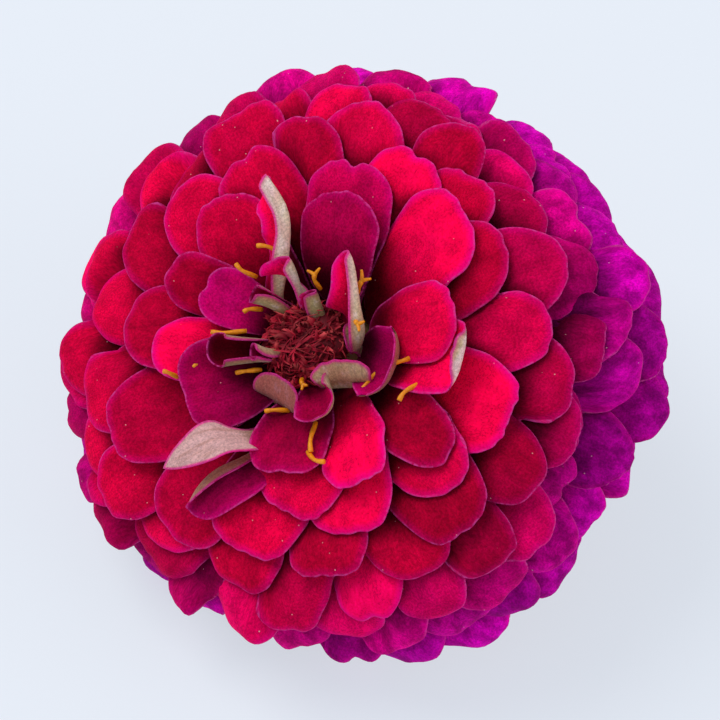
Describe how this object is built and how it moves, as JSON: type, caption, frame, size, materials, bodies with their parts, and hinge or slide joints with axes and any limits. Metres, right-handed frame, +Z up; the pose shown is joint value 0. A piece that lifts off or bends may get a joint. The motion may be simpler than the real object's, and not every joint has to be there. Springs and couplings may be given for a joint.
{
  "type": "zinnia flower",
  "caption": "Fully double dome-shaped zinnia bloom cut with a short stem, lying tipped on the cut end and its lower petals.",
  "frame": {"origin": "on the surface the bloom rests on, under the middle of its outline", "axes": "+Z up from the surface; the bloom's own axis leans about 31 degrees from +Z towards -X and -Y, so that the face looks up and to the lower left; +X and +Y span the surface"},
  "size_m": [0.0876, 0.0882, 0.062],
  "materials": {
    "crimson_petal": "velvety, soft sheen",
    "magenta_petal": "velvety, soft sheen",
    "receptacle_pith": "matte, fibrous",
    "dry_chaff": "dry, papery, shaggy",
    "bract_leaf": "satin leaf skin with dark fringed edge",
    "stem_skin": "satin, fine bristly hairs"
  },
  "bodies": {
    "root": {"inner_petal_01": "crimson_petal", "inner_petal_02": "crimson_petal", "inner_petal_03": "crimson_petal", "inner_petal_04": "crimson_petal", "inner_petal_05": "crimson_petal", "inner_petal_06": "crimson_petal", "inner_petal_07": "crimson_petal", "inner_petal_08": "crimson_petal", "inner_petal_09": "crimson_petal", "inner_petal_10": "crimson_petal", "inner_petal_11": "crimson_petal", "inner_petal_12": "crimson_petal", "inner_petal_13": "crimson_petal", "face_petal_01": "crimson_petal", "face_petal_02": "crimson_petal", "face_petal_03": "crimson_petal", "face_petal_04": "crimson_petal", "face_petal_05": "crimson_petal", "face_petal_06": "crimson_petal", "face_petal_07": "crimson_petal", "face_petal_08": "crimson_petal", "face_petal_09": "crimson_petal", "face_petal_10": "crimson_petal", "face_petal_11": "crimson_petal", "face_petal_12": "crimson_petal", "face_petal_13": "crimson_petal", "face_petal_14": "crimson_petal", "face_petal_15": "crimson_petal", "face_petal_16": "crimson_petal", "face_petal_17": "crimson_petal", "face_petal_18": "crimson_petal", "face_petal_19": "crimson_petal", "face_petal_20": "crimson_petal", "face_petal_21": "crimson_petal", "face_petal_22": "crimson_petal", "face_petal_23": "crimson_petal", "face_petal_24": "crimson_petal", "face_petal_25": "crimson_petal", "face_petal_26": "crimson_petal", "face_petal_27": "crimson_petal", "face_petal_28": "crimson_petal", "face_petal_29": "crimson_petal", "face_petal_30": "crimson_petal", "face_petal_31": "crimson_petal", "face_petal_32": "crimson_petal", "face_petal_33": "crimson_petal", "face_petal_34": "crimson_petal", "petal_whorl_1": "magenta_petal", "petal_whorl_2": "magenta_petal", "petal_whorl_3": "magenta_petal", "petal_whorl_4": "magenta_petal", "petal_whorl_5": "magenta_petal", "petal_whorl_6": "magenta_petal", "petal_whorl_7": "magenta_petal", "receptacle": "receptacle_pith", "disc_chaff": "dry_chaff", "bract_row_upper": "bract_leaf", "bract_row_middle": "bract_leaf", "bract_row_lower": "bract_leaf", "cut_stem": "stem_skin"}
  },
  "joints": []
}
